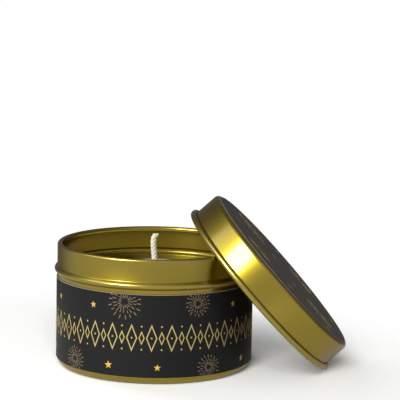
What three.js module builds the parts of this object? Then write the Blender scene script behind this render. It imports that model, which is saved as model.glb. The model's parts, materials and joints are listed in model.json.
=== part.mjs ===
// A candle in a round slip-lid tin, with the lid off and leaning on the tin's rim.
// Millimetres, +Z up. The origin is the middle of the footprint of the tin and its leaning lid.
import * as THREE from "three";

// ---- Driving dimensions ----
const roundSegments = 64; // sides of every turned piece, a multiple of 4
const bendSteps = 5; // flats in each rounded corner
const beadSteps = 6;
const curlSteps = 12; // flats in the tin's rolled rim and the lid's curl

// Tin: one drawn cup with a rolled mouth, a neck for the lid and a bead that stops it
const tinRadius = 38.25; // outside of the wall, neck and body alike
const tinHeight = 48.15;
const tinWall = 0.3;
const cornerRadius = 3.6; // where the wall turns into the base
const footWidth = 1.5; // flat ring that the tin stands on
const recessDepth = 0.8; // base panel above the foot
const recessStepWidth = 0.9; // sloped step between foot and panel
const rimRollRadius = 1; // mouth rolled inwards
const beadBelowRim = 10.25; // middle of the bead
const beadHalfHeight = 1.3;
const beadProjection = 1.05;

// Labels
const labelGap = 0.1; // glue line between a label and the tinplate
const labelThickness = 0.15;
const bodyLabelBottom = 3.1; // above the foot
const bodyLabelBelowBead = 3; // label's top edge below the middle of the bead
const lidLabelMargin = 0.1; // lid label's edge in from where the top's corner starts
const baseLabelRadius = 26;

// Candle
const seatGap = 0.15; // between pieces that sit on or in each other
const headspace = 14.15; // wax surface below the rim
const wickRadius = 1.3;
const wickGap = 0.3; // round the wick, in the wax and in its tab
const wickAboveRim = 3.7;
const wickCrook = [
  [-0.25, 0.4], // sideways, and the share of the free length below it
  [-0.75, 0.75],
  [-0.6, 0.9],
  [0.1, 0.97],
];
const wickSides = 10;
const wickSteps = 24;
const stickerRadius = 9;
const stickerThickness = 0.6;
const tabRadius = 10;
const tabThickness = 0.3;
const tabNeckHeight = 5;

// Lid: a shallow drawn cap with its open edge curled outwards
const lidFit = 0.3; // between the tin's neck and the lid's skirt
const lidHeight = 13;
const lidWall = 0.3;
const lidCornerRadius = 1.6;
const curlWidth = 1.9; // from the inside of the skirt to the outside of the curl
const curlHeight = 2.4;
const lidLean = THREE.MathUtils.degToRad(47.7); // lid's top from level
const leanGap = 0.3; // between the leaning lid and the tin

// ---- Sizes that follow from them ----
const tinInnerRadius = tinRadius - tinWall;
const beadHeight = tinHeight - beadBelowRim;
const beadArcRadius = (beadHalfHeight ** 2 + beadProjection ** 2) / (2 * beadProjection);
const beadArcCentre = tinRadius + beadProjection - beadArcRadius;
const footOuterRadius = tinRadius - cornerRadius;
const footInnerRadius = footOuterRadius - footWidth;
const floorHeight = recessDepth + tinWall;
const waxTop = tinHeight - headspace;
const stickerBottom = floorHeight + seatGap;
const tabBottom = stickerBottom + stickerThickness + seatGap;
const tabTop = tabBottom + tabThickness;
const tabBoreRadius = wickRadius + wickGap;
const tabNeckRadius = tabBoreRadius + tabThickness;
const tabNeckTop = tabTop + tabNeckHeight;
const lidInnerRadius = tinRadius + lidFit;
const lidRadius = lidInnerRadius + lidWall;

// ---- Helpers ----
const point = (radius, height) => new THREE.Vector2(radius, height);

// Points on an oval about (radius, height), between two angles in degrees
function arc(radius, height, across, up, fromAngle, toAngle, steps) {
  return Array.from({ length: steps + 1 }, (_, i) => {
    const angle = THREE.MathUtils.degToRad(fromAngle + ((toAngle - fromAngle) * i) / steps);
    return point(radius + across * Math.cos(angle), height + up * Math.sin(angle));
  });
}

// A section of (radius, height) points turned about the upright axis
function turned(section) {
  return new THREE.LatheGeometry(section, roundSegments).rotateX(Math.PI / 2);
}

// A ring's section as a closed outline
const closed = (section) => [...section, section[0].clone()];

function disc(radius, bottom, top) {
  return turned([point(0, bottom), point(radius, bottom), point(radius, top), point(0, top)]);
}

function part(name, geometry, colour, roughness, metalness) {
  const mesh = new THREE.Mesh(
    geometry,
    new THREE.MeshStandardMaterial({ color: colour, roughness, metalness }),
  );
  mesh.name = name;
  return mesh;
}

// ---- Tin ----
// One side of the drawn sheet from the middle of the base up to below the rim roll.
// inset is 0 for the outside and the wall's thickness for the inside.
function tinSheet(inset) {
  const stepLength = Math.hypot(recessStepWidth, recessDepth);
  const stepShift = (inset * (stepLength - recessStepWidth)) / recessDepth;
  const bendRadius = cornerRadius - inset;
  const wallRadius = tinRadius - inset;
  const grooveRadius = beadArcRadius - inset;
  const beadEdge = THREE.MathUtils.radToDeg(Math.acos((wallRadius - beadArcCentre) / grooveRadius));
  return [
    point(0, recessDepth + inset),
    point(footInnerRadius - recessStepWidth + stepShift, recessDepth + inset),
    point(footInnerRadius + stepShift, inset),
    ...arc(footOuterRadius, cornerRadius, bendRadius, bendRadius, -90, 0, bendSteps),
    ...arc(beadArcCentre, beadHeight, grooveRadius, grooveRadius, -beadEdge, beadEdge, beadSteps),
  ];
}

function tinGeometry() {
  const rollCentre = tinRadius - rimRollRadius;
  const rollHeight = tinHeight - rimRollRadius;
  return turned([
    ...tinSheet(0),
    ...arc(rollCentre, rollHeight, rimRollRadius, rimRollRadius, 0, 270, curlSteps),
    point(tinInnerRadius, tinHeight - 2 * rimRollRadius),
    ...tinSheet(tinWall).reverse(),
  ]);
}

function bodyLabelGeometry() {
  const inner = tinRadius + labelGap;
  const outer = inner + labelThickness;
  const top = beadHeight - bodyLabelBelowBead;
  return turned(
    closed([
      point(inner, bodyLabelBottom),
      point(outer, bodyLabelBottom),
      point(outer, top),
      point(inner, top),
    ]),
  );
}

function baseLabelGeometry() {
  const top = recessDepth - labelGap;
  return disc(baseLabelRadius, top - labelThickness, top);
}

// ---- Candle ----
// The wax follows the inside of the base and leaves room for the wick and its tab
function waxGeometry() {
  const bed = tinSheet(tinWall + seatGap).filter((p) => p.y <= cornerRadius);
  const outerRadius = tinInnerRadius - seatGap;
  return turned(
    closed([
      point(tabRadius + wickGap, bed[0].y),
      ...bed.slice(1),
      point(outerRadius, waxTop),
      point(tabBoreRadius, waxTop),
      point(tabBoreRadius, tabNeckTop + wickGap),
      point(tabNeckRadius + wickGap, tabNeckTop + wickGap),
      point(tabNeckRadius + wickGap, tabTop + wickGap),
      point(tabRadius + wickGap, tabTop + wickGap),
    ]),
  );
}

function stickerGeometry() {
  return disc(stickerRadius, stickerBottom, stickerBottom + stickerThickness);
}

function tabGeometry() {
  return turned(
    closed([
      point(tabBoreRadius, tabBottom),
      point(tabRadius, tabBottom),
      point(tabRadius, tabTop),
      point(tabNeckRadius, tabTop),
      point(tabNeckRadius, tabNeckTop),
      point(tabBoreRadius, tabNeckTop),
    ]),
  );
}

// Straight in the wax, a little crooked above it, with its tip nodding over
function wickGeometry() {
  const freeLength = tinHeight + wickAboveRim - waxTop;
  const route = new THREE.CatmullRomCurve3([
    new THREE.Vector3(0, 0, tabBottom),
    new THREE.Vector3(0, 0, (tabBottom + waxTop) / 2),
    new THREE.Vector3(0, 0, waxTop),
    ...wickCrook.map(([sideways, share]) => new THREE.Vector3(sideways, 0, waxTop + share * freeLength)),
  ]);
  const section = new THREE.Shape();
  for (let side = 0; side < wickSides; side += 1) {
    const angle = (2 * Math.PI * side) / wickSides;
    const x = wickRadius * Math.cos(angle);
    const y = wickRadius * Math.sin(angle);
    if (side === 0) section.moveTo(x, y);
    else section.lineTo(x, y);
  }
  return new THREE.ExtrudeGeometry(section, { steps: wickSteps, extrudePath: route });
}

// ---- Lid, in its own frame: the open edge lies on z = 0 and the top looks up ----
function lidSection() {
  const curlCentre = lidInnerRadius + curlWidth / 2;
  const curlMiddle = curlHeight / 2;
  const curlMeetsSkirt = THREE.MathUtils.radToDeg(
    Math.acos((lidRadius - curlCentre) / (curlWidth / 2)),
  );
  const bend = lidRadius - lidCornerRadius;
  const bendHeight = lidHeight - lidCornerRadius;
  const innerBend = lidCornerRadius - lidWall;
  return [
    point(0, lidHeight - lidWall),
    ...arc(bend, bendHeight, innerBend, innerBend, 90, 0, bendSteps),
    ...arc(curlCentre, curlMiddle, curlWidth / 2, curlMiddle, -180, curlMeetsSkirt, curlSteps),
    ...arc(bend, bendHeight, lidCornerRadius, lidCornerRadius, 0, 90, bendSteps),
    point(0, lidHeight),
  ];
}

function lidLabelGeometry() {
  const radius = lidRadius - lidCornerRadius - lidLabelMargin;
  const bottom = lidHeight + labelGap;
  return disc(radius, bottom, bottom + labelThickness);
}

// Distance from a point to the nearest edge of a section
function distanceToSection(section, target) {
  let nearest = Infinity;
  for (let i = 1; i < section.length; i += 1) {
    const edge = section[i].clone().sub(section[i - 1]);
    const along = target.clone().sub(section[i - 1]).dot(edge) / edge.lengthSq();
    const foot = section[i - 1].clone().addScaledVector(edge, THREE.MathUtils.clamp(along, 0, 1));
    nearest = Math.min(nearest, foot.distanceTo(target));
  }
  return nearest;
}

// Space left between the leaning lid, its open edge's middle at (x, 0, height), and the tin
function spaceBesideTin(x, height) {
  const section = lidSection();
  const labelRadius = tinRadius + labelGap + labelThickness;
  const hoops = [
    { radius: tinRadius - rimRollRadius, height: tinHeight - rimRollRadius, round: rimRollRadius },
    { radius: beadArcCentre, height: beadHeight, round: beadArcRadius },
    { radius: labelRadius, height: beadHeight - bodyLabelBelowBead, round: 0 },
    { radius: labelRadius, height: bodyLabelBottom, round: 0 },
  ];
  let space = Infinity;
  for (const hoop of hoops) {
    for (let degrees = 0; degrees <= 90; degrees += 0.5) {
      const angle = THREE.MathUtils.degToRad(degrees);
      const local = new THREE.Vector3(
        hoop.radius * Math.cos(angle) - x,
        hoop.radius * Math.sin(angle),
        hoop.height - height,
      ).applyAxisAngle(new THREE.Vector3(0, 1, 0), -lidLean);
      const target = point(Math.hypot(local.x, local.y), local.z);
      space = Math.min(space, distanceToSection(section, target) - hoop.round);
    }
  }
  return space;
}

// The lid stands on its curl and comes in from the side until it leans on the tin
function lidPlace() {
  const curlMiddle = curlHeight / 2;
  const curlCentre = lidInnerRadius + curlWidth / 2;
  const curlReach = Math.hypot((curlWidth / 2) * Math.sin(lidLean), curlMiddle * Math.cos(lidLean));
  const height = curlCentre * Math.sin(lidLean) - curlMiddle * Math.cos(lidLean) + curlReach;
  const sideStep = 0.5;
  const fineness = 0.001;
  let clear = tinRadius + lidRadius + curlWidth + lidHeight;
  while (spaceBesideTin(clear - sideStep, height) > leanGap) clear -= sideStep;
  let touching = clear - sideStep;
  while (clear - touching > fineness) {
    const middle = (clear + touching) / 2;
    if (spaceBesideTin(middle, height) > leanGap) clear = middle;
    else touching = middle;
  }
  return new THREE.Vector3(clear, 0, height);
}

// ---- Assembly ----
const gold = 0x8a7a22;
const candleTin = new THREE.Group();
candleTin.add(
  part("tin_body", tinGeometry(), gold, 0.3, 1),
  part("body_label", bodyLabelGeometry(), 0x2a292b, 0.6, 0),
  part("base_label", baseLabelGeometry(), 0xe9e6dd, 0.6, 0),
  part("wax_fill", waxGeometry(), 0xf1ead6, 0.5, 0),
  part("wick", wickGeometry(), 0xe6e3d3, 0.9, 0),
  part("wick_sustainer", tabGeometry(), 0xb9bbbd, 0.35, 1),
  part("wick_sticker", stickerGeometry(), 0xf4f4f0, 0.8, 0),
);

const lid = new THREE.Group();
lid.rotation.y = lidLean;
lid.position.copy(lidPlace());
lid.add(
  part("lid_shell", turned(lidSection()), gold, 0.3, 1),
  part("lid_label", lidLabelGeometry(), 0x45403e, 0.6, 0),
);
candleTin.add(lid);

// The middle of the footprint becomes the origin
const footprint = new THREE.Box3().setFromObject(candleTin, true);
candleTin.position.x = -(footprint.min.x + footprint.max.x) / 2;

export default candleTin;
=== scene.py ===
# A candle in a round slip-lid tin, with the lid off and leaning on the tin's rim.
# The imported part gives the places. Sizes in the dictionaries are millimetres unless a note says otherwise.
import json
import math
import random

import bpy
from mathutils import Matrix, Vector, noise

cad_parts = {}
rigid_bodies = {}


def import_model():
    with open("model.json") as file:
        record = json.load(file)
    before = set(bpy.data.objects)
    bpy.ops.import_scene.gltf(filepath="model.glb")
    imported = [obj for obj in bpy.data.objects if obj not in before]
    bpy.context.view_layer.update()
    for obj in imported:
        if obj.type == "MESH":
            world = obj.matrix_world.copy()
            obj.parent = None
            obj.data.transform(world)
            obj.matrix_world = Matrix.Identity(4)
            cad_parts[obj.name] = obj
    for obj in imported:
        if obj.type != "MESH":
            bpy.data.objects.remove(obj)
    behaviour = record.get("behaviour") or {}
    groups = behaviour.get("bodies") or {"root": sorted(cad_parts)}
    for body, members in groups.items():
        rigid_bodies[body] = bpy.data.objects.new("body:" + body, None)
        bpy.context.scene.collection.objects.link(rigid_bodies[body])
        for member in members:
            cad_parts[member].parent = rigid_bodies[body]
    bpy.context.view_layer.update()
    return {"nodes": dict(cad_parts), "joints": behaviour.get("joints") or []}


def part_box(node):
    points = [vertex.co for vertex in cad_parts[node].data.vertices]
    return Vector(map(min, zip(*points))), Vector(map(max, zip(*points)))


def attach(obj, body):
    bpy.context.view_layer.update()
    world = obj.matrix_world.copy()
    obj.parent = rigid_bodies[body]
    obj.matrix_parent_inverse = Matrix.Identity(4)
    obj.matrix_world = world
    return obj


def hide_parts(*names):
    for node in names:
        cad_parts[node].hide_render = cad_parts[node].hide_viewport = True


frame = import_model()

mm = 0.001
print("stage: frame loaded")


# small helpers

def linearColour(hexCode):  # sRGB hex to the linear colour a shader takes
    channels = [int(hexCode[i:i + 2], 16) / 255 for i in (1, 3, 5)]
    linear = [c / 12.92 if c <= 0.04045 else ((c + 0.055) / 1.055) ** 2.4 for c in channels]
    return (*linear, 1.0)


def addNode(tree, kind, inputs=None, **settings):  # an input is a value, or another node's socket
    node = tree.nodes.new(kind)
    for name, value in settings.items():
        setattr(node, name, value)
    for key, value in (inputs or {}).items():
        if isinstance(value, bpy.types.NodeSocket):
            tree.links.new(value, node.inputs[key])
        else:
            node.inputs[key].default_value = value
    return node


def newMaterial(name):
    material = bpy.data.materials.new(name)
    material.use_nodes = True
    tree = material.node_tree
    return material, tree, tree.nodes["Principled BSDF"]


def arc(radius, height, across, up, fromDegrees, toDegrees, steps):
    points = []
    for i in range(steps + 1):
        angle = math.radians(fromDegrees + (toDegrees - fromDegrees) * i / steps)
        points.append((radius + across * math.cos(angle), height + up * math.sin(angle)))
    return points


def eased(corners, steps=5):  # (radius, height, rounding) corners to an outline with rounded corners
    outline = []
    for i, (radius, height, rounding) in enumerate(corners):
        here = Vector((radius, height))
        if rounding == 0:
            outline.append((radius, height))
            continue
        before = Vector(corners[i - 1][:2]) - here
        after = Vector(corners[(i + 1) % len(corners)][:2]) - here
        half = before.angle(after) / 2
        reach = min(rounding / math.tan(half), before.length * 0.49, after.length * 0.49)
        bend = reach * math.tan(half)
        middle = here + (before.normalized() + after.normalized()).normalized() * (bend / math.sin(half))
        start = here + before.normalized() * reach - middle
        end = here + after.normalized() * reach - middle
        for k in range(steps + 1):
            turn = start.lerp(end, k / steps).normalized() * bend
            outline.append(tuple(middle + turn))
    return outline


def linkObject(name, data):
    made = bpy.data.objects.new(name, data)
    bpy.context.scene.collection.objects.link(made)
    return made


def newTree(name, sockets):  # a Geometry Nodes tree with these named inputs
    tree = bpy.data.node_groups.new(name, "GeometryNodeTree")
    tree.interface.new_socket("Geometry", in_out="INPUT", socket_type="NodeSocketGeometry")
    for label, kind in sockets:
        tree.interface.new_socket(label, in_out="INPUT", socket_type="NodeSocket" + kind)
    tree.interface.new_socket("Geometry", in_out="OUTPUT", socket_type="NodeSocketGeometry")
    return tree, tree.nodes.new("NodeGroupInput").outputs, tree.nodes.new("NodeGroupOutput").inputs


def grow(mesh, tree, values):  # runs a tree on a mesh and gives back the plain result
    holder = linkObject("holder", mesh)
    modifier = holder.modifiers.new("shape", "NODES")
    modifier.node_group = tree
    for item in tree.interface.items_tree:
        if item.in_out == "INPUT" and item.name in values:
            modifier[item.identifier] = values[item.name]
    depsgraph = bpy.context.evaluated_depsgraph_get()
    result = bpy.data.meshes.new_from_object(
        holder.evaluated_get(depsgraph), preserve_all_data_layers=True, depsgraph=depsgraph)
    bpy.data.objects.remove(holder)
    return result


def signedVolume(mesh):
    mesh.calc_loop_triangles()
    total = 0
    for triangle in mesh.loop_triangles:
        a, b, c = (mesh.vertices[i].co for i in triangle.vertices)
        total += a.dot(b.cross(c))
    return total


def faceOut(mesh):  # a closed mesh that is inside out is turned the right way
    if signedVolume(mesh) < 0:
        mesh.flip_normals()


def settle(name, mesh, place, body, replaced=None, sharpAngle=40):
    # puts a finished mesh in its place and hands it to its body
    faceOut(mesh)
    mesh.transform(place)
    mesh.shade_smooth()
    mesh.set_sharp_from_angle(angle=math.radians(sharpAngle))
    piece = linkObject(name, mesh)
    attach(piece, body)
    if replaced:
        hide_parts(replaced)


# places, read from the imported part

tinLow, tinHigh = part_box("tin_body")
tinPlace = Matrix.Translation(((tinLow.x + tinHigh.x) / 2, 0, 0)) @ Matrix.Scale(mm, 4)

lidAxis = Vector(frame["joints"][0]["axis"]).normalized()
lidAcross = Vector((lidAxis.z, 0, -lidAxis.x))  # downhill on the lid's top
lidCorners = [v.co for v in frame["nodes"]["lid_shell"].data.vertices]
lidAlong = min(co.dot(lidAxis) for co in lidCorners)
lidMiddle = (min(co.dot(lidAcross) for co in lidCorners) + max(co.dot(lidAcross) for co in lidCorners)) / 2
lidTurn = Matrix((lidAcross, Vector((0, 1, 0)), lidAxis)).transposed().to_4x4()
lidPlace = Matrix.Translation(lidAxis * lidAlong + lidAcross * lidMiddle) @ lidTurn @ Matrix.Scale(mm, 4)


# camera

camera = {
    "across": -1.03,
    "back": 751.6,
    "up": 181.1,
    "lookDown": 8.77,  # degrees
    "roll": 1.15,  # degrees
    "lens": 175.5,
}
cameraObject = linkObject("camera", bpy.data.cameras.new("camera"))
cameraObject.data.lens = camera["lens"]
cameraObject.data.sensor_width = 36
cameraObject.data.clip_start = 0.05
cameraObject.data.clip_end = 30
cameraObject.matrix_world = (
    Matrix.Translation((camera["across"] * mm, -camera["back"] * mm, camera["up"] * mm))
    @ Matrix.Rotation(math.radians(90 - camera["lookDown"]), 4, "X")
    @ Matrix.Rotation(math.radians(camera["roll"]), 4, "Z")
)
bpy.context.scene.camera = cameraObject


# materials

# Tinplate with a tinted gold lacquer, roller coated before drawing.
# The metal gives a soft olive-gold mirror, the clear lacquer over it small white glints.
goldSizes = {
    "outside": ("#98830c", "#a59010"),
    "inside": ("#6e5e03", "#7a6904"),  # darker than the outside, as painted shade for the inside of the tin
    "worn": "#b5a55a",
    "edge": "#c9ae3a",  # seen at a slant, where the lacquer is crossed for longer
    "roughness": 0.3,
    "roughnessSpread": 0.015,
    "cloudScale": 0.06,  # slow drift of the tint
    "rubbedScale": 0.9,  # patches in the worn crests
    "insideSlant": -0.3,  # how squarely a face has to look towards the axis to be inside
    "coatRoughness": 0.16,
    "coatIor": 1.55,
    "reliefStrength": 0.04,
    "grainSpacing": 0.9,  # rolling grain is nearer 0.15 mm, and is drawn coarser so that it shows
    "peelSpacing": 1.6,  # orange peel of the lacquer
}


def makeGold(name, deep, light, gloss):
    material, tree, shader = newMaterial(name)
    place = addNode(tree, "ShaderNodeAttribute", attribute_name="ownPlace").outputs["Vector"]
    worn = addNode(tree, "ShaderNodeAttribute", attribute_name="wear").outputs["Fac"]
    clouds = addNode(tree, "ShaderNodeTexNoise", {
        "Vector": place, "Scale": goldSizes["cloudScale"], "Detail": 2.0})
    tint = addNode(tree, "ShaderNodeMix", {
        0: clouds.outputs["Fac"],
        6: linearColour(deep),
        7: linearColour(light),
    }, data_type="RGBA")
    patchy = addNode(tree, "ShaderNodeTexNoise", {
        "Vector": place, "Scale": goldSizes["rubbedScale"], "Detail": 4.0})
    rubbed = addNode(tree, "ShaderNodeMath", {0: worn, 1: patchy.outputs["Fac"]}, operation="MULTIPLY")
    colour = addNode(tree, "ShaderNodeMix", {
        0: rubbed.outputs[0],
        6: tint.outputs[2],
        7: linearColour(goldSizes["worn"]),
    }, data_type="RGBA")
    upright = addNode(tree, "ShaderNodeMapping", {"Vector": place, "Scale": (1, 1, 0.03)})
    grain = addNode(tree, "ShaderNodeTexNoise", {
        "Vector": upright.outputs[0], "Scale": 1 / goldSizes["grainSpacing"], "Detail": 3.0})
    roughness = addNode(tree, "ShaderNodeMapRange", {
        "Value": grain.outputs["Fac"],
        "To Min": goldSizes["roughness"] - goldSizes["roughnessSpread"],
        "To Max": goldSizes["roughness"] + goldSizes["roughnessSpread"],
    })
    peel = addNode(tree, "ShaderNodeTexNoise", {"Vector": place, "Scale": 1 / goldSizes["peelSpacing"]})
    relief = addNode(tree, "ShaderNodeMath", {
        0: grain.outputs["Fac"], 1: peel.outputs["Fac"]}, operation="ADD")
    bump = addNode(tree, "ShaderNodeBump", {
        "Strength": goldSizes["reliefStrength"], "Distance": 0.00003, "Height": relief.outputs[0]})
    tree.links.new(colour.outputs[2], shader.inputs["Base Color"])
    tree.links.new(roughness.outputs[0], shader.inputs["Roughness"])
    tree.links.new(bump.outputs[0], shader.inputs["Normal"])
    shader.inputs["Metallic"].default_value = 1
    shader.inputs["Coat Weight"].default_value = gloss
    shader.inputs["Specular Tint"].default_value = linearColour(goldSizes["edge"])
    shader.inputs["Coat Roughness"].default_value = goldSizes["coatRoughness"]
    shader.inputs["Coat IOR"].default_value = goldSizes["coatIor"]
    return material


# Black-printed label paper with a matt film.
# It has nearly no texture, a faint soft sheen, and paper fibre under the film.
paperSizes = {
    "body": ("#101013", "#161517"),
    # the lid's copy of the black paper is drawn much lighter, as painted sheen and light on its upturned face
    "lid": ("#5a4f4a", "#6a605a"),
    "core": ("#8d8266", "#9a8f72"),  # the cut edge, also used for the painted highlight band along the body label's top
    "fibreSpacing": 0.5,  # real fibres are nearer 0.1 mm, and are drawn coarser so that they show
}


def makePaper(name, dark, light):
    material, tree, shader = newMaterial(name)
    place = addNode(tree, "ShaderNodeAttribute", attribute_name="ownPlace").outputs["Vector"]
    mottle = addNode(tree, "ShaderNodeTexNoise", {"Vector": place, "Scale": 0.25, "Detail": 5.0})
    colour = addNode(tree, "ShaderNodeMix", {
        0: mottle.outputs["Fac"], 6: linearColour(dark), 7: linearColour(light)}, data_type="RGBA")
    fibre = addNode(tree, "ShaderNodeTexNoise", {
        "Vector": place, "Scale": 1 / paperSizes["fibreSpacing"], "Detail": 4.0})
    roughness = addNode(tree, "ShaderNodeMapRange", {
        "Value": fibre.outputs["Fac"], "To Min": 0.44, "To Max": 0.58})
    bump = addNode(tree, "ShaderNodeBump", {
        "Strength": 0.15, "Distance": 0.00003, "Height": fibre.outputs["Fac"]})
    tree.links.new(colour.outputs[2], shader.inputs["Base Color"])
    tree.links.new(roughness.outputs[0], shader.inputs["Roughness"])
    tree.links.new(bump.outputs[0], shader.inputs["Normal"])
    shader.inputs["Specular IOR Level"].default_value = 0.25
    return material


# Gold printing ink: a matt metallic gold, a little uneven where it sank into the paper.
def makeInk(name, low, high):
    material, tree, shader = newMaterial(name)
    place = addNode(tree, "ShaderNodeTexCoord").outputs["Object"]
    uneven = addNode(tree, "ShaderNodeTexNoise", {"Vector": place, "Scale": 700.0, "Detail": 3.0})
    colour = addNode(tree, "ShaderNodeMix", {
        0: uneven.outputs["Fac"], 6: linearColour(low), 7: linearColour(high)}, data_type="RGBA")
    roughness = addNode(tree, "ShaderNodeMapRange", {
        "Value": uneven.outputs["Fac"], "To Min": 0.35, "To Max": 0.5})
    tree.links.new(colour.outputs[2], shader.inputs["Base Color"])
    tree.links.new(roughness.outputs[0], shader.inputs["Roughness"])
    shader.inputs["Metallic"].default_value = 0.45
    return material


# Poured plant wax: milky, light goes a little way in, with a faint mottled frosting.
def makeWax():
    material, tree, shader = newMaterial("pouredWax")
    place = addNode(tree, "ShaderNodeAttribute", attribute_name="ownPlace").outputs["Vector"]
    frosting = addNode(tree, "ShaderNodeTexNoise", {"Vector": place, "Scale": 0.18, "Detail": 6.0})
    bloom = addNode(tree, "ShaderNodeTexVoronoi", {"Vector": place, "Scale": 0.35}, feature="SMOOTH_F1")
    mixed = addNode(tree, "ShaderNodeMath", {
        0: frosting.outputs["Fac"], 1: bloom.outputs["Distance"]}, operation="MULTIPLY")
    colour = addNode(tree, "ShaderNodeMix", {
        0: mixed.outputs[0], 6: linearColour("#efe5cc"), 7: linearColour("#faf4e4")}, data_type="RGBA")
    roughness = addNode(tree, "ShaderNodeMapRange", {
        "Value": frosting.outputs["Fac"], "To Min": 0.34, "To Max": 0.6})
    bump = addNode(tree, "ShaderNodeBump", {
        "Strength": 0.2, "Distance": 0.0001, "Height": frosting.outputs["Fac"]})
    tree.links.new(colour.outputs[2], shader.inputs["Base Color"])
    tree.links.new(roughness.outputs[0], shader.inputs["Roughness"])
    tree.links.new(bump.outputs[0], shader.inputs["Normal"])
    shader.inputs["IOR"].default_value = 1.44
    shader.inputs["Subsurface Weight"].default_value = 0.35
    shader.inputs["Subsurface Radius"].default_value = (1.0, 0.7, 0.4)
    shader.inputs["Subsurface Scale"].default_value = 0.002
    return material


# Braided cotton, primed with wax: off-white, soft, with fine threads along each strand.
def makeCotton():
    material, tree, shader = newMaterial("braidedCotton")
    place = addNode(tree, "ShaderNodeTexCoord").outputs["Object"]
    stretched = addNode(tree, "ShaderNodeMapping", {"Vector": place, "Scale": (1, 1, 0.25)})
    threads = addNode(tree, "ShaderNodeTexNoise", {
        "Vector": stretched.outputs[0], "Scale": 4500.0, "Detail": 3.0})  # threads 0.2 mm apart
    soil = addNode(tree, "ShaderNodeTexNoise", {"Vector": place, "Scale": 350.0})
    mixed = addNode(tree, "ShaderNodeMath", {
        0: threads.outputs["Fac"], 1: soil.outputs["Fac"]}, operation="MULTIPLY")
    colour = addNode(tree, "ShaderNodeMix", {
        0: mixed.outputs[0], 6: linearColour("#e2dcc6"), 7: linearColour("#fbf8ea")}, data_type="RGBA")
    bump = addNode(tree, "ShaderNodeBump", {
        "Strength": 0.5, "Distance": 0.0001, "Height": threads.outputs["Fac"]})
    tree.links.new(colour.outputs[2], shader.inputs["Base Color"])
    tree.links.new(bump.outputs[0], shader.inputs["Normal"])
    shader.inputs["Roughness"].default_value = 0.85
    shader.inputs["Sheen Weight"].default_value = 0.25
    shader.inputs["Subsurface Weight"].default_value = 0.15
    shader.inputs["Subsurface Scale"].default_value = 0.0006
    return material


# Stamped bright tinned steel: grey mirror with fine rolling lines across the sheet.
def makeSteel():
    material, tree, shader = newMaterial("tinnedSteel")
    place = addNode(tree, "ShaderNodeTexCoord").outputs["Object"]
    along = addNode(tree, "ShaderNodeMapping", {"Vector": place, "Scale": (1, 0.04, 1)})
    lines = addNode(tree, "ShaderNodeTexNoise", {
        "Vector": along.outputs[0], "Scale": 3000.0, "Detail": 3.0})  # lines 0.3 mm apart
    colour = addNode(tree, "ShaderNodeMix", {
        0: lines.outputs["Fac"], 6: linearColour("#a9abac"), 7: linearColour("#c6c7c6")}, data_type="RGBA")
    roughness = addNode(tree, "ShaderNodeMapRange", {
        "Value": lines.outputs["Fac"], "To Min": 0.22, "To Max": 0.42})
    tree.links.new(colour.outputs[2], shader.inputs["Base Color"])
    tree.links.new(roughness.outputs[0], shader.inputs["Roughness"])
    shader.inputs["Metallic"].default_value = 1
    return material


# Closed-cell foam tape, and uncoated sticker paper: pale and matt, told apart by the grain.
def makePale(name, low, high, grain, strength):  # grain is the pattern's spacing
    material, tree, shader = newMaterial(name)
    place = addNode(tree, "ShaderNodeTexCoord").outputs["Object"]
    cells = addNode(tree, "ShaderNodeTexNoise", {"Vector": place, "Scale": 1 / (grain * mm), "Detail": 4.0})
    colour = addNode(tree, "ShaderNodeMix", {
        0: cells.outputs["Fac"], 6: linearColour(low), 7: linearColour(high)}, data_type="RGBA")
    bump = addNode(tree, "ShaderNodeBump", {
        "Strength": strength, "Distance": 0.0001, "Height": cells.outputs["Fac"]})
    tree.links.new(colour.outputs[2], shader.inputs["Base Color"])
    tree.links.new(bump.outputs[0], shader.inputs["Normal"])
    shader.inputs["Roughness"].default_value = 0.75
    return material


gold = makeGold("lacqueredTinplate", *goldSizes["outside"], 0.95)
# the inside copy of the lacquered tinplate is darker, as painted shade inside the tin and the lid
insideGoldPaintedShade = makeGold("twiceLacqueredTinplate", *goldSizes["inside"], 0.35)
bodyPaper = makePaper("blackLabelPaper", *paperSizes["body"])
# the lid label's paper is lighter than the body's, as painted sheen
lidPaperPaintedSheen = makePaper("charcoalLabelPaper", *paperSizes["lid"])
paperCoreAndHighlight = makePale("cutPaperEdge", *paperSizes["core"], 0.3, 0.1)
lineInk = makeInk("goldInk", "#c4ae66", "#d6c27c")
burstInk = makeInk("dullGoldInk", "#85745a", "#9c8a6a")
starInk = makeInk("brightGoldInk", "#deb44c", "#f0cb66")
wax = makeWax()
cotton = makeCotton()
steel = makeSteel()
foam = makePale("foamTape", "#e9e8e2", "#f7f6f0", 0.25, 0.4)
stickerPaper = makePale("stickerPaper", "#e7e3d8", "#f1eee5", 0.5, 0.15)
print("stage: materials made")


# turned pieces: one tree turns a section about the upright axis

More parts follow.
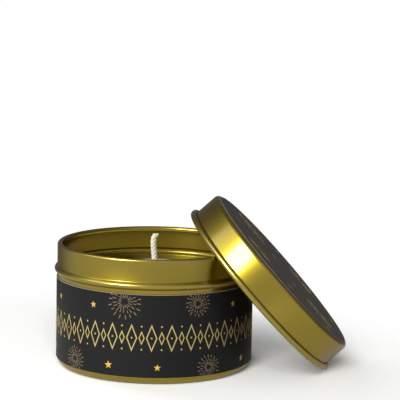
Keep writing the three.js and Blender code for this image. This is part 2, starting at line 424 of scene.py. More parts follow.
def makeTurningTree():
    tree, given, out = newTree("turnedSection", [("Sides", "Int"), ("Finish", "Material")])
    section = addNode(tree, "GeometryNodeMeshToCurve", {"Mesh": given["Geometry"]})
    hub = 0.1  # the section stands this far out on a small circle, and is drawn in by as much
    shifted = addNode(tree, "GeometryNodeTransform", {
        "Geometry": section.outputs[0], "Translation": (-hub, 0, 0), "Scale": (1, -1, 1)})
    circle = addNode(tree, "GeometryNodeCurvePrimitiveCircle", {"Resolution": given["Sides"], "Radius": hub})
    turned = addNode(tree, "GeometryNodeCurveToMesh", {
        "Curve": circle.outputs[0], "Profile Curve": shifted.outputs[0]})
    merged = addNode(tree, "GeometryNodeMergeByDistance", {"Geometry": turned.outputs[0], "Distance": 0.0005})
    position = addNode(tree, "GeometryNodeInputPosition")
    kept = addNode(tree, "GeometryNodeStoreNamedAttribute", {
        "Geometry": merged.outputs[0], "Name": "ownPlace", "Value": position.outputs[0]},
        data_type="FLOAT_VECTOR", domain="POINT")
    real = addNode(tree, "GeometryNodeRealizeInstances", {"Geometry": kept.outputs[0]})
    finished = addNode(tree, "GeometryNodeSetMaterial", {
        "Geometry": real.outputs[0], "Material": given["Finish"]})
    tree.links.new(finished.outputs[0], out["Geometry"])
    return tree


turningTree = makeTurningTree()


def turn(outline, finish, sides=256, crests=(), ring=False):
    # outline is (radius, height) points; crests are the points that rub, where the lacquer wears
    section = bpy.data.meshes.new("section")
    edges = [(i, i + 1) for i in range(len(outline) - 1)]
    if ring:
        edges.append((len(outline) - 1, 0))
    section.from_pydata([(r, z, 0) for r, z in outline], edges, [])
    wear = section.attributes.new("wear", "FLOAT", "POINT")
    for i, here in enumerate(outline):
        near = [1 - (Vector(here) - Vector(c[:2])).length / c[2] for c in crests]
        wear.data[i].value = max([0, *near])
    return grow(section, turningTree, {"Sides": sides, "Finish": finish})


# tin

tin = {
    "radius": 38.25,
    "height": 48.15,
    "wall": 0.3,
    "cornerRadius": 3.6,
    "footWidth": 1.5,
    "footRounding": 0.5,
    "recess": 0.8,
    "recessStep": 0.9,
    "recessLean": 0.1,  # the inside of the step stands this far out
    "rollRadius": 1.0,
    "rollDegrees": 300,
    "rollSlit": 0.2,  # between the end of the rolled rim and the wall
    "rollEndDrop": 0.45,
    "beadBelowRim": 10.25,
    "beadHalfHeight": 1.65,
    "beadProjection": 1.05,
    "sides": 288,
}


def beadPoints(wallRadius):  # the bead swells and dies away without a crease
    middle = tin["height"] - tin["beadBelowRim"]
    points = []
    for i in range(29):
        t = -1 + i / 14
        swell = tin["beadProjection"] * (1 - t * t) ** 1.5
        points.append((wallRadius + swell, middle + t * tin["beadHalfHeight"]))
    return points


def paintInsideShade(mesh, ceiling):
    # the faces below the ceiling that look towards the axis get the darker inside colour, which is painted
    # shade
    faceOut(mesh)
    mesh.materials.append(insideGoldPaintedShade)
    for face in mesh.polygons:
        outward = face.normal.x * face.center.x + face.normal.y * face.center.y
        if outward < goldSizes["insideSlant"] * face.center.xy.length and face.center.z < ceiling:
            face.material_index = 1
    return mesh


def tinOutline():
    radius, wall, corner = tin["radius"], tin["wall"], tin["cornerRadius"]
    inner = radius - wall
    footOuter = radius - corner
    footInner = footOuter - tin["footWidth"]
    roll = tin["rollRadius"]
    rollTop = tin["height"] - roll
    outside = [
        (0, tin["recess"], 0),
        (footInner - tin["recessStep"], tin["recess"], tin["footRounding"]),
        (footInner, 0, tin["footRounding"]),
        *[(*p, 0) for p in arc(footOuter, corner, corner, corner, -90, 0, 12)],
        *[(*p, 0) for p in beadPoints(radius)],
    ]
    rim = [(*p, 0) for p in arc(radius - roll, rollTop, roll, roll, 0, tin["rollDegrees"], 30)]
    slit = [
        (inner - tin["rollSlit"], rollTop - tin["rollEndDrop"], 0),
        (inner, rollTop - tin["rollEndDrop"], 0),
    ]
    inside = [
        *[(*p, 0) for p in reversed(beadPoints(inner))],
        *[(*p, 0) for p in arc(footOuter, corner, corner - wall, corner - wall, 0, -90, 12)],
        (footInner + tin["recessLean"], wall, tin["footRounding"]),
        (footInner - tin["recessStep"] + tin["recessLean"], tin["recess"] + wall, tin["footRounding"]),
        (0, tin["recess"] + wall, 0),
    ]
    return eased(outside + rim + slit + inside)


tinCrests = [  # radius, height, how far round it the lacquer is rubbed
    (tin["radius"] - 0.3, tin["height"] - 0.2, 1.2),
    (tin["radius"] + tin["beadProjection"], tin["height"] - tin["beadBelowRim"], 1.0),
    (tin["radius"] - 1.6, 1.0, 1.4),
]
tinCeiling = tin["height"] - 2 * tin["rollRadius"]
# the tin's inner wall below the rolled rim gets the darker inside colour, as painted shade
tinMesh = paintInsideShade(turn(tinOutline(), gold, tin["sides"], tinCrests), tinCeiling)
settle("tinShell", tinMesh, tinPlace, "tin", "tin_body")
print("stage: tin turned")


# labels

label = {
    "radius": 38.35,
    "thickness": 0.15,
    "bottom": 3.1,
    "top": 34.9,
    "overlap": 5.0,
    "ramp": 6.0,  # length over which the lapped end lifts on to the other
    "lapGap": 0.02,  # glue between the two ends
    "edgeBevel": 0.04,
    "paintedHighlightMargin": 0.24,  # a band this deep under the top edge takes the cut edge's colour, as a painted highlight along the edge
    "steps": 300,
    "lidRadius": 37.15,
    "lidHeight": 13.1,
}


def labelMesh():
    # a paper strip round the tin, lapped at the back
    inner = label["radius"]
    outer = inner + label["thickness"]
    low, high, bevel = label["bottom"], label["top"], label["edgeBevel"]
    section = [
        (inner, low), (outer - bevel, low), (outer, low + bevel),
        (outer, high - label["paintedHighlightMargin"]), (outer, high - bevel), (outer - bevel, high), (inner, high),
    ]
    lift = label["thickness"] + label["lapGap"]
    lapAngle = label["overlap"] / outer
    rampAngle = label["ramp"] / outer
    points, faces = [], []
    for i in range(label["steps"] + 1):
        angle = -math.pi - lapAngle + (2 * math.pi + lapAngle) * i / label["steps"]
        share = min(1, max(0, (angle - (math.pi - lapAngle - rampAngle)) / rampAngle))
        raised = lift * share * share * (3 - 2 * share)
        for radius, height in section:
            reach = radius + raised
            points.append((reach * math.sin(angle), -reach * math.cos(angle), height))
    count = len(section)
    for i in range(label["steps"]):
        for k in range(count):
            a = i * count + k
            b = i * count + (k + 1) % count
            faces.append((a, b, b + count, a + count))
    faces.append(tuple(range(count - 1, -1, -1)))
    faces.append(tuple(label["steps"] * count + k for k in range(count)))
    mesh = bpy.data.meshes.new("bodyLabel")
    mesh.from_pydata(points, [], faces)
    own = mesh.attributes.new("ownPlace", "FLOAT_VECTOR", "POINT")
    own.data.foreach_set("vector", [value for point in points for value in point])
    mesh.materials.append(bodyPaper)
    mesh.materials.append(paperCoreAndHighlight)
    # the flat edges show the paper's own pale core; the band just under the top edge is painted highlight
    for face in mesh.polygons:
        flatEdge = abs(face.normal.z) > 0.9 or len(face.vertices) > 4
        highlightBand = face.center.z > high - label["paintedHighlightMargin"]
        face.material_index = 1 if flatEdge or highlightBand else 0
    return mesh


settle("bodyLabel", labelMesh(), tinPlace, "tin", "body_label")

lidLabelBottom = label["lidHeight"]
lidLabelTop = lidLabelBottom + label["thickness"]
lidLabelOutline = eased([
    (0, lidLabelBottom, 0),
    (label["lidRadius"], lidLabelBottom, 0),
    (label["lidRadius"], lidLabelTop, 0.08),
    (0, lidLabelTop, 0),
])
lidLabelMesh = turn(lidLabelOutline, lidPaperPaintedSheen)
lidLabelMesh.materials.append(paperCoreAndHighlight)
for face in lidLabelMesh.polygons:
    if abs(face.normal.z) < 0.9:
        face.material_index = 1
settle("lidLabel", lidLabelMesh, lidPlace, "lid", "lid_label")
print("stage: labels cut")


# printed ornament: stamps set out on the paper by Geometry Nodes

ornament = {
    "inkAbove": 0.03,  # above the paper
    "inkBelow": 0.02,  # sunk into it
    "dashWidth": 0.34,
    "rays": 18,  # in each of a burst's three rings
    "ringStarts": (0.2, 0.46, 0.72),  # share of the burst's radius
    "dashLength": 0.23,
    "lozenge": (4.3, 10.6, 0.42),  # width, height, line
    "smallLozenge": (2.3, 5.4, 0.36),
    "dot": 0.34,  # radius
    "bandMiddle": 18.3,
    "bandStep": 7.6,
    "bandFromTo": (-15, 15),  # counted from the front; the strip by the lapped end stays plain
    "edgeMargin": 0.25,
    "turnSpread": 0.12,  # unevenness of the dashes, as shares of a step, of the radius and of the length
    "startSpread": 0.03,
    "lengthSpread": (0.75, 1.15),
    "shortestDash": 0.35,
    "innerRingWidth": 0.8,  # share of the dash's width in the inner ring
    "ringWidthStep": 0.12,
    "starWaist": 0.42,  # a star's inner radius as a share of its outer one
    "dotShare": 0.82,  # how far up a small lozenge its dots stand
    "seed": 5,
}
# degrees round from the front, height, size
# the first four bursts and three stars keep to the real label's layout, the rest are the maker's own
bodyBursts = [
    (-15.7, 31.9, 7.0), (26.4, 31.1, 5.4), (-50, 6.9, 5.4), (34, 6.2, 5.2), (-88, 30.5, 6.4),
    (92, 8.2, 6.2), (78, 30.6, 5.4), (140, 30.2, 6.6), (-140, 7.4, 6.0), (-112, 6.4, 4.8),
]
bodyStars = [
    (-35.4, 29.4, 1.35), (-25, 7.1, 1.6), (3.4, 7.0, 1.4), (52, 29.2, 1.3), (62, 6.8, 1.4), (-68, 29.0, 1.3),
    (108, 29.4, 1.5), (118, 6.9, 1.4), (-120, 29.6, 1.4), (158, 7.2, 1.5), (-82, 7.4, 1.4),
]
# downhill and away from the front on the lid's top, size
# the first burst keeps to the real lid's faint print, the rest are the maker's own
lidBursts = [(21, -9, 8.2), (-15, -19, 7.0), (-18, 15, 8.6), (12, 22, 7.4)]
lidStars = [
    (3, -24, 1.6), (-27, -3, 1.4), (-2, 29, 1.5), (30, 8, 1.5), (6, -8, 1.4), (-5, 6, 1.7), (25, -22, 1.3),
]


def stampMesh(name, loops):  # each loop is an outline, or an (outer, inner) pair of outlines for a frame
    points, faces = [], []
    top, bottom = ornament["inkAbove"], -ornament["inkBelow"]
    for outer, inner in loops:
        start, count = len(points), len(outer)
        for height in (bottom, top):
            points += [(x, y, height) for x, y in outer]
            points += [(x, y, height) for x, y in inner]
        step = count + len(inner)
        lower, upper = start, start + step
        for k in range(count):
            n = (k + 1) % count
            faces.append((lower + k, lower + n, upper + n, upper + k))
            if inner:
                faces.append((lower + count + n, lower + count + k, upper + count + k, upper + count + n))
                faces.append((upper + k, upper + n, upper + count + n, upper + count + k))
                faces.append((lower + n, lower + k, lower + count + k, lower + count + n))
        if not inner:
            faces.append(tuple(upper + k for k in range(count)))
            faces.append(tuple(lower + k for k in reversed(range(count))))
    mesh = bpy.data.meshes.new(name)
    mesh.from_pydata(points, [], faces)
    return mesh


def roundDot(x, y, radius, sides=10):
    return [(x + radius * math.cos(2 * math.pi * i / sides), y + radius * math.sin(2 * math.pi * i / sides))
            for i in range(sides)]


def diamond(width, height, inset=0):
    # inset is measured square to the sides
    halfWidth, halfHeight = width / 2, height / 2
    shrink = 1 - inset * math.hypot(halfWidth, halfHeight) / (halfWidth * halfHeight)
    halfWidth, halfHeight = halfWidth * shrink, halfHeight * shrink
    return [(halfWidth, 0), (0, halfHeight), (-halfWidth, 0), (0, -halfHeight)]


def makeStamps():
    width, height, line = ornament["lozenge"]
    smallWidth, smallHeight, smallLine = ornament["smallLozenge"]
    dot = ornament["dot"]
    dotHeight = smallHeight * ornament["dotShare"]
    star = []
    for i in reversed(range(10)):
        reach = 1 if i % 2 == 0 else ornament["starWaist"]
        star.append((reach * math.sin(math.pi * i / 5), reach * math.cos(math.pi * i / 5)))
    meshes = [
        stampMesh("a_dash", [([(0, -0.3), (0.7, -0.5), (1, -0.28), (1, 0.28), (0.7, 0.5), (0, 0.3)], [])]),
        stampMesh("b_star", [(star, [])]),
        stampMesh("c_lozenge", [
            (diamond(width, height), diamond(width, height, line)), (roundDot(0, 0, dot), [])]),
        stampMesh("d_small", [
            (diamond(smallWidth, smallHeight), diamond(smallWidth, smallHeight, smallLine)),
            (roundDot(0, dotHeight, dot), []), (roundDot(0, -dotHeight, dot), [])]),
    ]
    collection = bpy.data.collections.new("stamps")
    bpy.context.scene.collection.children.link(collection)
    for mesh in meshes:
        collection.objects.link(bpy.data.objects.new(mesh.name, mesh))
    return collection


def makePrintTree():
    tree, given, out = newTree("printOnPaper", [
        ("Stamps", "Collection"), ("Wrap Radius", "Float"), ("Wrapped", "Bool"), ("Ink", "Material")])
    stamps = addNode(tree, "GeometryNodeCollectionInfo", {
        "Collection": given["Stamps"], "Separate Children": True, "Reset Children": True})
    which = addNode(tree, "GeometryNodeInputNamedAttribute", {"Name": "stamp"}, data_type="INT")
    turned = addNode(tree, "GeometryNodeInputNamedAttribute", {"Name": "turn"}, data_type="FLOAT_VECTOR")
    stretch = addNode(tree, "GeometryNodeInputNamedAttribute", {"Name": "stretch"}, data_type="FLOAT_VECTOR")
    placed = addNode(tree, "GeometryNodeInstanceOnPoints", {
        "Points": given["Geometry"], "Instance": stamps.outputs[0], "Pick Instance": True,
        "Instance Index": which.outputs[0], "Rotation": turned.outputs[0], "Scale": stretch.outputs[0]})
    real = addNode(tree, "GeometryNodeRealizeInstances", {"Geometry": placed.outputs[0]})
    position = addNode(tree, "GeometryNodeInputPosition")
    flat = addNode(tree, "ShaderNodeSeparateXYZ", {0: position.outputs[0]})
    angle = addNode(tree, "ShaderNodeMath", {
        0: flat.outputs["X"], 1: given["Wrap Radius"]}, operation="DIVIDE")
    reach = addNode(tree, "ShaderNodeMath", {
        0: flat.outputs["Z"], 1: given["Wrap Radius"]}, operation="ADD")
    sine = addNode(tree, "ShaderNodeMath", {0: angle.outputs[0]}, operation="SINE")
    cosine = addNode(tree, "ShaderNodeMath", {0: angle.outputs[0]}, operation="COSINE")
    across = addNode(tree, "ShaderNodeMath", {0: sine.outputs[0], 1: reach.outputs[0]}, operation="MULTIPLY")
    deep = addNode(tree, "ShaderNodeMath", {0: cosine.outputs[0], 1: reach.outputs[0]}, operation="MULTIPLY")
    front = addNode(tree, "ShaderNodeMath", {0: deep.outputs[0], 1: -1.0}, operation="MULTIPLY")
    bent = addNode(tree, "ShaderNodeCombineXYZ", {
        0: across.outputs[0], 1: front.outputs[0], 2: flat.outputs["Y"]})
    chosen = addNode(tree, "GeometryNodeSwitch", {
        0: given["Wrapped"], 1: position.outputs[0], 2: bent.outputs[0]}, input_type="VECTOR")
    laid = addNode(tree, "GeometryNodeSetPosition", {
        "Geometry": real.outputs[0], "Position": chosen.outputs[0]})
    inked = addNode(tree, "GeometryNodeSetMaterial", {"Geometry": laid.outputs[0], "Material": given["Ink"]})
    tree.links.new(inked.outputs[0], out["Geometry"])
    return tree


def burstPoints(x, y, radius, dice, low=-1000, high=1000):
    # dashes in three rings, each cut short where it would cross the paper's edge
    rows = []
    turnSpread, startSpread = ornament["turnSpread"], ornament["startSpread"]
    for ring, start in enumerate(ornament["ringStarts"]):
        for k in range(ornament["rays"]):
            angle = 2 * math.pi * (k + ring / 3 + dice.uniform(-turnSpread, turnSpread)) / ornament["rays"]
            begin = radius * (start + dice.uniform(-startSpread, startSpread))
            length = radius * ornament["dashLength"] * dice.uniform(*ornament["lengthSpread"])
            px, py = x + begin * math.cos(angle), y + begin * math.sin(angle)
            rise = math.sin(angle)
            room = (high - py if rise > 0 else py - low) / max(abs(rise), 0.001)
            length = min(length, room)
            if length > ornament["shortestDash"]:
                share = ornament["innerRingWidth"] + ornament["ringWidthStep"] * ring
                width = ornament["dashWidth"] * share
                rows.append(((px, py), 0, angle, (length, width, 1)))
    return rows


def printPieces(name, rows, ink, place, body, wrapRadius):
    mesh = bpy.data.meshes.new(name + "Points")
    mesh.from_pydata([(x, y, 0) for (x, y), _, _, _ in rows], [], [])
    mesh.attributes.new("stamp", "INT", "POINT").data.foreach_set("value", [row[1] for row in rows])
    turns = [value for row in rows for value in (0, 0, row[2])]
    mesh.attributes.new("turn", "FLOAT_VECTOR", "POINT").data.foreach_set("vector", turns)
    stretches = [value for row in rows for value in row[3]]
    mesh.attributes.new("stretch", "FLOAT_VECTOR", "POINT").data.foreach_set("vector", stretches)
    grown = grow(mesh, printTree, {
        "Stamps": stamps, "Wrap Radius": wrapRadius or 1.0, "Wrapped": bool(wrapRadius), "Ink": ink})
    settle(name, grown, place, body)


stamps = makeStamps()
printTree = makePrintTree()
dice = random.Random(ornament["seed"])
paperRadius = label["radius"] + label["thickness"]
lowEdge = label["bottom"] + ornament["edgeMargin"]
highEdge = label["top"] - ornament["edgeMargin"]
burstRows = []
for degrees, height, size in bodyBursts:
    burstRows += burstPoints(math.radians(degrees) * paperRadius, height, size, dice, lowEdge, highEdge)
bandRows = []
for i in range(*ornament["bandFromTo"]):
    along = i * ornament["bandStep"]
    bandRows.append(((along, ornament["bandMiddle"]), 2, 0, (1, 1, 1)))
    bandRows.append(((along + ornament["bandStep"] / 2, ornament["bandMiddle"]), 3, 0, (1, 1, 1)))
starRows = []
for degrees, height, size in bodyStars:
    along = math.radians(degrees) * paperRadius
    starRows.append(((along, height), 1, dice.uniform(-0.2, 0.2), (size, size, 1)))
printPieces("bodyLabelBand", bandRows, lineInk, tinPlace, "tin", paperRadius)
printPieces("bodyLabelBursts", burstRows, burstInk, tinPlace, "tin", paperRadius)
printPieces("bodyLabelStars", starRows, starInk, tinPlace, "tin", paperRadius)

lidRows = []
for x, y, size in lidBursts:
    lidRows += burstPoints(x, y, size, dice)
lidStarRows = [((x, y), 1, dice.uniform(0, 1), (s, s, 1)) for x, y, s in lidStars]
lidTopPlace = lidPlace @ Matrix.Translation((0, 0, lidLabelTop))
printPieces("lidLabelBursts", lidRows, lineInk, lidTopPlace, "lid", 0)
printPieces("lidLabelStars", lidStarRows, lineInk, lidTopPlace, "lid", 0)
for stampObject in list(stamps.objects):
    bpy.data.objects.remove(stampObject)
bpy.data.collections.remove(stamps)
print("stage: ornament printed")


# lid

lid = {
    "innerRadius": 38.55,
    "wall": 0.3,
    "height": 13.0,
    "cornerRadius": 1.6,
    "curlWidth": 1.9,
    "curlHeight": 2.4,
    "curlSlit": 0.16,  # between the skirt and the end of the curl
    "curlEndRise": 1.1,  # height of the curl's end, as a share of its middle's
    "sides": 288,
}


def lidOutline():
    inner = lid["innerRadius"]
    outer = inner + lid["wall"]
    corner = lid["cornerRadius"]
    bend, bendHeight = outer - corner, lid["height"] - corner
    innerBend = corner - lid["wall"]
    half = lid["curlWidth"] / 2
    curlCentre, curlMiddle = inner + half, lid["curlHeight"] / 2
    slitRadius = outer + lid["curlSlit"]
    endDegrees = math.degrees(math.acos((slitRadius - curlCentre) / half))
    return [
        (0, lid["height"] - lid["wall"]),
        *arc(bend, bendHeight, innerBend, innerBend, 90, 0, 8),
        *arc(curlCentre, curlMiddle, half, curlMiddle, -180, endDegrees, 36),
        (slitRadius, curlMiddle * lid["curlEndRise"]),
        (outer, curlMiddle * lid["curlEndRise"]),
        *arc(bend, bendHeight, corner, corner, 0, 90, 10),
        (0, lid["height"]),
    ]


lidCrests = [
    (lid["innerRadius"] + lid["curlWidth"], lid["curlHeight"] / 2, 1.0),
    (lid["innerRadius"] + lid["wall"] - 0.3, lid["height"] - 0.3, 1.3),
]
# the lid's inner skirt gets the darker inside colour too, as painted shade
lidMesh = paintInsideShade(turn(lidOutline(), gold, lid["sides"], lidCrests), lid["height"])
settle("lidShell", lidMesh, lidPlace, "lid", "lid_shell")
print("stage: lid turned")


# wax

waxFill = {
    "radius": 37.8,
    "top": 34.0,
    "bottom": 1.25,  # over the tin's raised floor
    "ringFrom": 31.95,  # the step down to the ring over the tin's foot
    "ringTo": 33.0,
    "ringBottom": 0.45,
    "cornerMiddle": (34.65, 3.6),
    "cornerRadius": 3.15,
    "tabRoom": (10.3, 2.6),  # radius and ceiling of the room for the wick's tab
    "neckRoom": (2.2, 7.6),
    "bore": 1.6,
    "climb": 0.45,  # up the wall where the wax cooled against it
    "climbReach": 0.9,
    "sink": 0.35,  # the shallow dip round the wick
    "sinkMiddle": 4.5,
    "sinkReach": 3.2,
    "wickClimb": 0.5,  # up the wick
    "wickClimbReach": 0.5,
    "ripple": 0.07,
    "rippleScale": 0.16,
    "surfaceSteps": 40,
    "sides": 160,
}


def waxOutline():
    tabEdge, tabCeiling = waxFill["tabRoom"]
    neckEdge, neckCeiling = waxFill["neckRoom"]
    bore = waxFill["bore"]
    corner = waxFill["cornerRadius"]
    outline = [
        (tabEdge, waxFill["bottom"]),
        (waxFill["ringFrom"], waxFill["bottom"]),
        (waxFill["ringTo"], waxFill["ringBottom"]),
        (waxFill["cornerMiddle"][0], waxFill["ringBottom"]),
        *arc(*waxFill["cornerMiddle"], corner, corner, -90, 0, 8),
    ]
    steps = waxFill["surfaceSteps"]
    for i in range(steps + 1):
        radius = waxFill["radius"] + (bore - waxFill["radius"]) * i / steps
        fromWall = waxFill["radius"] - radius
        rise = waxFill["climb"] * math.exp(-fromWall / waxFill["climbReach"])
        dip = -waxFill["sink"] * math.exp(-((radius - waxFill["sinkMiddle"]) / waxFill["sinkReach"]) ** 2)
        nearWick = waxFill["wickClimb"] * math.exp(-(radius - bore) / waxFill["wickClimbReach"])
        outline.append((radius, waxFill["top"] + rise + dip + nearWick))
    outline += [
        (bore, neckCeiling), (neckEdge, neckCeiling), (neckEdge, tabCeiling), (tabEdge, tabCeiling),
    ]
    return outline


waxMesh = turn(waxOutline(), wax, waxFill["sides"], ring=True)
for vertex in waxMesh.vertices:  # the surface set a little unevenly
    if vertex.co.z > waxFill["top"] - 1:
        vertex.co.z += waxFill["ripple"] * noise.noise(vertex.co * waxFill["rippleScale"])
settle("waxFill", waxMesh, tinPlace, "tin", "wax_fill")
print("stage: wax poured")


# wick: eight strands braided round a core

wick = {
    "foot": 2.0,
    "straightTo": 34.0,
    "tip": 51.5,
    "crook": [(-0.25, 0.4), (-0.75, 0.75), (-0.6, 0.9), (0.15, 0.985)],  # sideways, share of the free length
    "strandsEachWay": 4,
    "strandRadius": 0.42,
    "braidRadius": 0.72,
    "weave": 0.15,  # how far a strand goes over and under
    "pitch": 6.2,
    "coreRadius": 0.72,
    "footTaper": 0.84,
    "samples": 260,
}


def makeBraidTree():
    tree, given, out = newTree("braidedWick", [
        ("Strands Each Way", "Int"), ("Strand Radius", "Float"), ("Braid Radius", "Float"),
        ("Weave", "Float"), ("Pitch", "Float"), ("Core Radius", "Float"), ("Foot Taper", "Float"),
        ("Samples", "Int"), ("Finish", "Material")])
    path = addNode(tree, "GeometryNodeMeshToCurve", {"Mesh": given["Geometry"]})
    fine = addNode(tree, "GeometryNodeResampleCurve", {"Curve": path.outputs[0], "Count": given["Samples"]})
    both = addNode(tree, "ShaderNodeMath", {0: given["Strands Each Way"], 1: 2.0}, operation="MULTIPLY")
    copies = addNode(tree, "GeometryNodeDuplicateElements", {
        "Geometry": fine.outputs[0], "Amount": both.outputs[0]}, domain="SPLINE")
    index = copies.outputs["Duplicate Index"]
    backward = addNode(tree, "ShaderNodeMath", {
        0: index, 1: given["Strands Each Way"]}, operation="LESS_THAN")
    way = addNode(tree, "ShaderNodeMath", {0: backward.outputs[0], 1: 2.0, 2: -1.0}, operation="MULTIPLY_ADD")
    along = addNode(tree, "GeometryNodeSplineParameter")
    turns = addNode(tree, "ShaderNodeMath", {
        0: along.outputs["Length"], 1: given["Pitch"]}, operation="DIVIDE")
    swept = addNode(tree, "ShaderNodeMath", {0: turns.outputs[0], 1: 2 * math.pi}, operation="MULTIPLY")
    signed = addNode(tree, "ShaderNodeMath", {0: swept.outputs[0], 1: way.outputs[0]}, operation="MULTIPLY")
    share = addNode(tree, "ShaderNodeMath", {0: index, 1: given["Strands Each Way"]}, operation="DIVIDE")
    startAngle = addNode(tree, "ShaderNodeMath", {0: share.outputs[0], 1: 2 * math.pi}, operation="MULTIPLY")
    angle = addNode(tree, "ShaderNodeMath", {0: signed.outputs[0], 1: startAngle.outputs[0]}, operation="ADD")
    crossing = addNode(tree, "ShaderNodeMath", {
        0: swept.outputs[0], 1: given["Strands Each Way"]}, operation="MULTIPLY")
    wave = addNode(tree, "ShaderNodeMath", {0: crossing.outputs[0]}, operation="COSINE")
    overUnder = addNode(tree, "ShaderNodeMath", {0: wave.outputs[0], 1: way.outputs[0]}, operation="MULTIPLY")
    reach = addNode(tree, "ShaderNodeMath", {
        0: overUnder.outputs[0], 1: given["Weave"], 2: given["Braid Radius"]}, operation="MULTIPLY_ADD")
    taper = addNode(tree, "ShaderNodeMapRange", {
        "Value": along.outputs["Factor"], "From Min": 0.6, "To Min": given["Foot Taper"], "To Max": 1.0})
    tapered = addNode(tree, "ShaderNodeMath", {
        0: reach.outputs[0], 1: taper.outputs[0]}, operation="MULTIPLY")
    sine = addNode(tree, "ShaderNodeMath", {0: angle.outputs[0]}, operation="SINE")
    cosine = addNode(tree, "ShaderNodeMath", {0: angle.outputs[0]}, operation="COSINE")
    x = addNode(tree, "ShaderNodeMath", {0: cosine.outputs[0], 1: tapered.outputs[0]}, operation="MULTIPLY")
    y = addNode(tree, "ShaderNodeMath", {0: sine.outputs[0], 1: tapered.outputs[0]}, operation="MULTIPLY")
    offset = addNode(tree, "ShaderNodeCombineXYZ", {0: x.outputs[0], 1: y.outputs[0]})
    woven = addNode(tree, "GeometryNodeSetPosition", {
        "Geometry": copies.outputs[0], "Offset": offset.outputs[0]})
    ring = addNode(tree, "GeometryNodeCurvePrimitiveCircle", {
        "Resolution": 8, "Radius": given["Strand Radius"]})
    strands = addNode(tree, "GeometryNodeCurveToMesh", {
        "Curve": woven.outputs[0], "Profile Curve": ring.outputs[0], "Fill Caps": True})
    coreRing = addNode(tree, "GeometryNodeCurvePrimitiveCircle", {
        "Resolution": 16, "Radius": given["Core Radius"]})
    core = addNode(tree, "GeometryNodeCurveToMesh", {
        "Curve": path.outputs[0], "Profile Curve": coreRing.outputs[0], "Fill Caps": True})
    joined = addNode(tree, "GeometryNodeJoinGeometry", {"Geometry": strands.outputs[0]})
    tree.links.new(core.outputs[0], joined.inputs["Geometry"])
    real = addNode(tree, "GeometryNodeRealizeInstances", {"Geometry": joined.outputs[0]})
    finished = addNode(tree, "GeometryNodeSetMaterial", {
        "Geometry": real.outputs[0], "Material": given["Finish"]})
    tree.links.new(finished.outputs[0], out["Geometry"])
    return tree


def smoothPath(points, steps):  # Catmull-Rom through the points
    ends = [points[0] * 2 - points[1], *points, points[-1] * 2 - points[-2]]
    path = []
    for i in range(1, len(ends) - 2):
        a, b, c, d = ends[i - 1:i + 3]
        for k in range(steps):
            t = k / steps
            path.append(0.5 * (2 * b + (c - a) * t + (2 * a - 5 * b + 4 * c - d) * t * t
                               + (3 * b - a - 3 * c + d) * t ** 3))
    return [*path, points[-1]]


free = wick["tip"] - wick["straightTo"]
wickPoints = [Vector((0, 0, wick["foot"])), Vector((0, 0, (wick["foot"] + wick["straightTo"]) / 2)),
              Vector((0, 0, wick["straightTo"]))]
wickPoints += [Vector((sideways, 0, wick["straightTo"] + share * free)) for sideways, share in wick["crook"]]
wickPath = smoothPath(wickPoints, 12)
wickBase = bpy.data.meshes.new("wickPath")
wickBase.from_pydata([tuple(p) for p in wickPath], [(i, i + 1) for i in range(len(wickPath) - 1)], [])
wickMesh = grow(wickBase, makeBraidTree(), {
    "Strands Each Way": wick["strandsEachWay"], "Strand Radius": wick["strandRadius"],
    "Braid Radius": wick["braidRadius"], "Weave": wick["weave"], "Pitch": wick["pitch"],
    "Core Radius": wick["coreRadius"], "Foot Taper": wick["footTaper"], "Samples": wick["samples"],
    "Finish": cotton})
settle("wickBraid", wickMesh, tinPlace, "tin", "wick", 70)
print("stage: wick braided")


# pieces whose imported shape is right: they only get their finish

for nodeName, finish in (("wick_sustainer", steel), ("wick_sticker", foam), ("base_label", stickerPaper)):
    materials = frame["nodes"][nodeName].data.materials
    for i in range(len(materials)):
        materials[i] = finish


# floor, light and room

floor = {
    "radius": 900,
    "middle": (-0.06, -0.05, 0),  # metres, what the fade is round
    "fadeFrom": 0.12,  # metres, where the floor starts to melt into the white room
    "fadeTo": 0.2,
    "colour": "#f4f4f2",
    "bounce": "#c6c4bf",  # the slightly darker table that the tin is lit by, so that its underside stays calm
}


def makeFloor():
    mesh = bpy.data.meshes.new("floor")
    sides = 96
    ring = [(floor["radius"] * mm * math.cos(2 * math.pi * i / sides),
             floor["radius"] * mm * math.sin(2 * math.pi * i / sides), 0) for i in range(sides)]
    mesh.from_pydata(ring, [], [tuple(range(sides))])
    material, tree, shader = newMaterial("paleTable")
    seen = addNode(tree, "ShaderNodeLightPath").outputs["Is Camera Ray"]
    colour = addNode(tree, "ShaderNodeMix", {
        0: seen, 6: linearColour(floor["bounce"]), 7: linearColour(floor["colour"])}, data_type="RGBA")
    place = addNode(tree, "ShaderNodeTexCoord").outputs["Object"]
    fromMiddle = addNode(tree, "ShaderNodeVectorMath", {0: place, 1: floor["middle"]}, operation="SUBTRACT")
    distance = addNode(tree, "ShaderNodeVectorMath", {0: fromMiddle.outputs[0]}, operation="LENGTH")
    fade = addNode(tree, "ShaderNodeMapRange", {
        "Value": distance.outputs["Value"], "From Min": floor["fadeFrom"], "From Max": floor["fadeTo"]},
        interpolation_type="SMOOTHSTEP")
    clear = addNode(tree, "ShaderNodeBsdfTransparent")
    mixed = addNode(tree, "ShaderNodeMixShader", {
        0: fade.outputs[0], 1: shader.outputs[0], 2: clear.outputs[0]})
    tree.links.new(colour.outputs[2], shader.inputs["Base Color"])
    tree.links.new(mixed.outputs[0], tree.nodes["Material Output"].inputs["Surface"])
    shader.inputs["Roughness"].default_value = 0.8
    mesh.materials.append(material)
    made = linkObject("floor", mesh)
    return made


floorObject = makeFloor()

lampDistance = 1.2  # metres
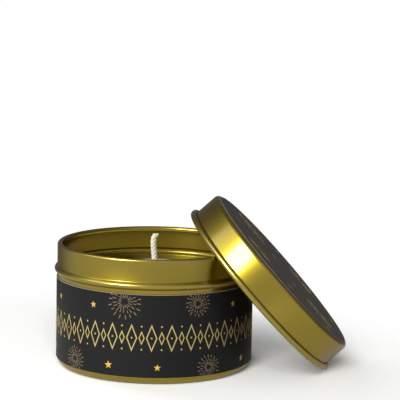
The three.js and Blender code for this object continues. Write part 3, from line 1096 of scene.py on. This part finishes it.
# direction to the light from the object, size in metres, radiance, and whether it is the table's own
lamps = {
    "keyBox": {"towards": (-0.56, -0.61, 0.55), "size": 0.44, "radiance": 20.0, "table": False},
    "leftBox": {"towards": (-0.79, -0.1, 0.61), "size": 0.45, "radiance": 1.6, "table": False},
    "tableBox": {"towards": (-0.14, -0.9, 0.4), "size": 0.7, "radiance": 16.0, "table": True},
    "tableBackBox": {"towards": (-0.64, 0.62, 0.5), "size": 0.6, "radiance": 4.7, "table": True},
}


def linkedTo(name, state):  # a list of receivers that takes in only the table, or all but the table
    receivers = bpy.data.collections.new(name)
    receivers.objects.link(floorObject)
    receivers.collection_objects[0].light_linking.link_state = state
    return receivers


tableOnly = linkedTo("tableOnly", "INCLUDE")
allButTable = linkedTo("allButTable", "EXCLUDE")
for lampName, lamp in lamps.items():
    data = bpy.data.lights.new(lampName, "AREA")
    data.shape = "SQUARE"
    data.size = lamp["size"]
    data.energy = lamp["radiance"] * math.pi * lamp["size"] ** 2
    lampObject = linkObject(lampName, data)
    direction = Vector(lamp["towards"]).normalized()
    lampObject.location = direction * lampDistance + Vector((0, 0, 0.03))
    lampObject.rotation_euler = (-direction).to_track_quat("-Z", "Y").to_euler()
    lampObject.visible_camera = False
    lampObject.light_linking.receiver_collection = tableOnly if lamp["table"] else allButTable

room = {
    "white": "#ffffff",  # what the camera sees behind the table
    "brightSide": (-0.45, -0.85, -0.25),  # towards the bright side of the room
    "dim": 0.14,
    "bright": 0.6,
    "dimUntil": -0.5,  # share of the way towards the bright side
    "brightFrom": 0.35,
}
world = bpy.data.worlds.new("studioRoom")
bpy.context.scene.world = world
world.use_nodes = True
worldTree = world.node_tree
worldTree.nodes.clear()
looking = addNode(worldTree, "ShaderNodeTexCoord").outputs["Generated"]
towardsBright = addNode(worldTree, "ShaderNodeVectorMath", {
    0: looking, 1: tuple(Vector(room["brightSide"]).normalized())}, operation="DOT_PRODUCT")
level = addNode(worldTree, "ShaderNodeMapRange", {
    "Value": towardsBright.outputs["Value"], "From Min": room["dimUntil"], "From Max": room["brightFrom"],
    "To Min": room["dim"], "To Max": room["bright"]}, interpolation_type="SMOOTHSTEP")
around = addNode(worldTree, "ShaderNodeBackground", {"Color": (1, 1, 1, 1), "Strength": level.outputs[0]})
white = addNode(worldTree, "ShaderNodeBackground", {"Color": linearColour(room["white"])})
straightOn = addNode(worldTree, "ShaderNodeLightPath").outputs["Is Camera Ray"]
seen = addNode(worldTree, "ShaderNodeMixShader", {0: straightOn, 1: around.outputs[0], 2: white.outputs[0]})
addNode(worldTree, "ShaderNodeOutputWorld", {"Surface": seen.outputs[0]})
bpy.context.scene.view_settings.view_transform = "Standard"
print("stage: floor and light set")
